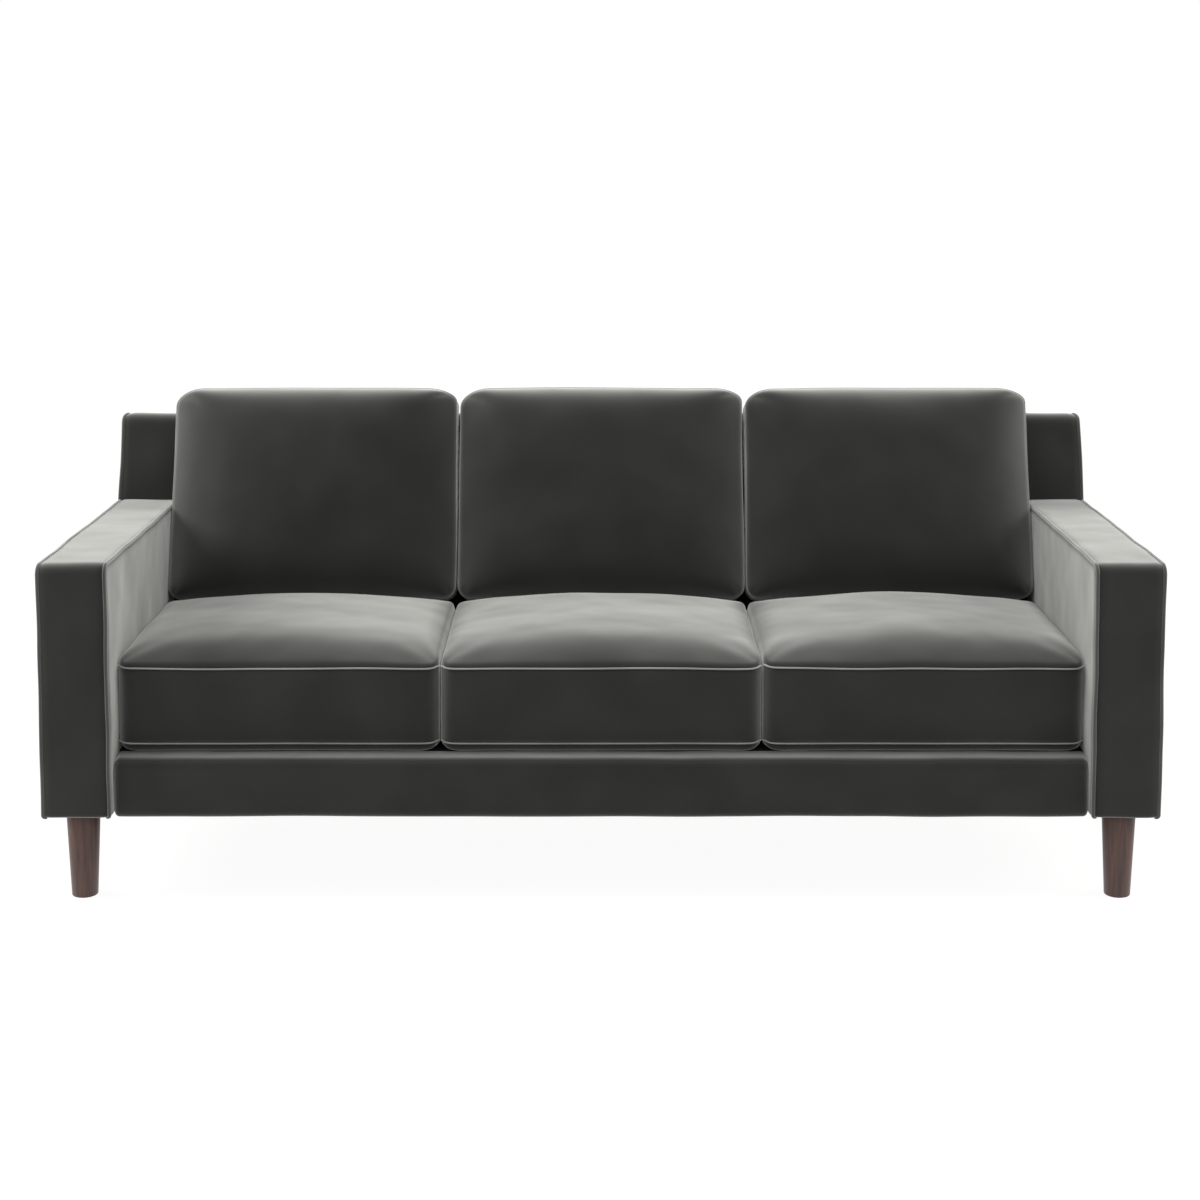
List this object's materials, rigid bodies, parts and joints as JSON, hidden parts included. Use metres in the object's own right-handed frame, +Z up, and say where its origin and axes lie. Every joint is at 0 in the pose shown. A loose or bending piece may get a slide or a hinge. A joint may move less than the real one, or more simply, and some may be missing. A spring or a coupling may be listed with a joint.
{
  "type": "three-seat sofa",
  "caption": "Upholstered sofa with square arms, a raked back, loose seat and back cushions and round tapered legs.",
  "frame": {"origin": "on the floor, under the middle of the sofa's box", "axes": "+X along the width, to the right as seen from the front; the front faces -Y; +Z up"},
  "size_m": [1.95, 0.7968, 0.8364],
  "materials": {
    "velvet": "matte",
    "walnut": "satin",
    "pine": "matte",
    "zinc_steel": "satin",
    "spring_steel": "satin",
    "foam": "matte",
    "deck_cloth": "matte"
  },
  "bodies": {
    "frame": {"leg_front_left": "walnut", "leg_plate_front_left": "zinc_steel", "hanger_bolt_front_left": "zinc_steel", "leg_front_right": "walnut", "leg_plate_front_right": "zinc_steel", "hanger_bolt_front_right": "zinc_steel", "leg_rear_left": "walnut", "leg_plate_rear_left": "zinc_steel", "hanger_bolt_rear_left": "zinc_steel", "leg_rear_right": "walnut", "leg_plate_rear_right": "zinc_steel", "hanger_bolt_rear_right": "zinc_steel", "base_front_rail": "pine", "base_rear_rail": "pine", "base_end_rail_left": "pine", "base_end_rail_right": "pine", "base_brace_left_centre": "pine", "base_brace_centre_right": "pine", "back_bracket_left_centre": "zinc_steel", "back_bracket_centre_right": "zinc_steel", "seat_springs_left": "spring_steel", "seat_springs_centre": "spring_steel", "seat_springs_right": "spring_steel", "front_rail_cover": "velvet", "seat_deck": "deck_cloth", "dust_cover": "deck_cloth", "arm_cover_left": "velvet", "arm_bottom_rail_left": "pine", "arm_top_rail_left": "pine", "arm_front_post_left": "pine", "arm_rear_post_left": "pine", "arm_cover_right": "velvet", "arm_bottom_rail_right": "pine", "arm_top_rail_right": "pine", "arm_front_post_right": "pine", "arm_rear_post_right": "pine", "back_cover": "velvet", "outside_back_panel": "velvet", "back_bottom_rail": "pine", "back_top_rail": "pine", "back_post_end_left": "pine", "back_post_left_centre": "pine", "back_post_centre_right": "pine", "back_post_end_right": "pine"},
    "seat_cushion_left": {"seat_cushion_cover_left": "velvet", "seat_cushion_foam_left": "foam"},
    "seat_cushion_centre": {"seat_cushion_cover_centre": "velvet", "seat_cushion_foam_centre": "foam"},
    "seat_cushion_right": {"seat_cushion_cover_right": "velvet", "seat_cushion_foam_right": "foam"},
    "back_cushion_left": {"back_cushion_cover_left": "velvet", "back_cushion_filling_left": "foam"},
    "back_cushion_centre": {"back_cushion_cover_centre": "velvet", "back_cushion_filling_centre": "foam"},
    "back_cushion_right": {"back_cushion_cover_right": "velvet", "back_cushion_filling_right": "foam"}
  },
  "joints": [
    {"name": "seat_cushion_left_pull", "type": "slide", "parent": "frame", "child": "seat_cushion_left", "axis": [0, -1, 0], "range_m": [0, 0.55]},
    {"name": "seat_cushion_centre_pull", "type": "slide", "parent": "frame", "child": "seat_cushion_centre", "axis": [0, -1, 0], "range_m": [0, 0.55]},
    {"name": "seat_cushion_right_pull", "type": "slide", "parent": "frame", "child": "seat_cushion_right", "axis": [0, -1, 0], "range_m": [0, 0.55]},
    {"name": "back_cushion_left_lift", "type": "slide", "parent": "frame", "child": "back_cushion_left", "axis": [0, 0.284, 0.9588], "range_m": [0, 0.4]},
    {"name": "back_cushion_centre_lift", "type": "slide", "parent": "frame", "child": "back_cushion_centre", "axis": [0, 0.284, 0.9588], "range_m": [0, 0.4]},
    {"name": "back_cushion_right_lift", "type": "slide", "parent": "frame", "child": "back_cushion_right", "axis": [0, 0.284, 0.9588], "range_m": [0, 0.4]}
  ]
}
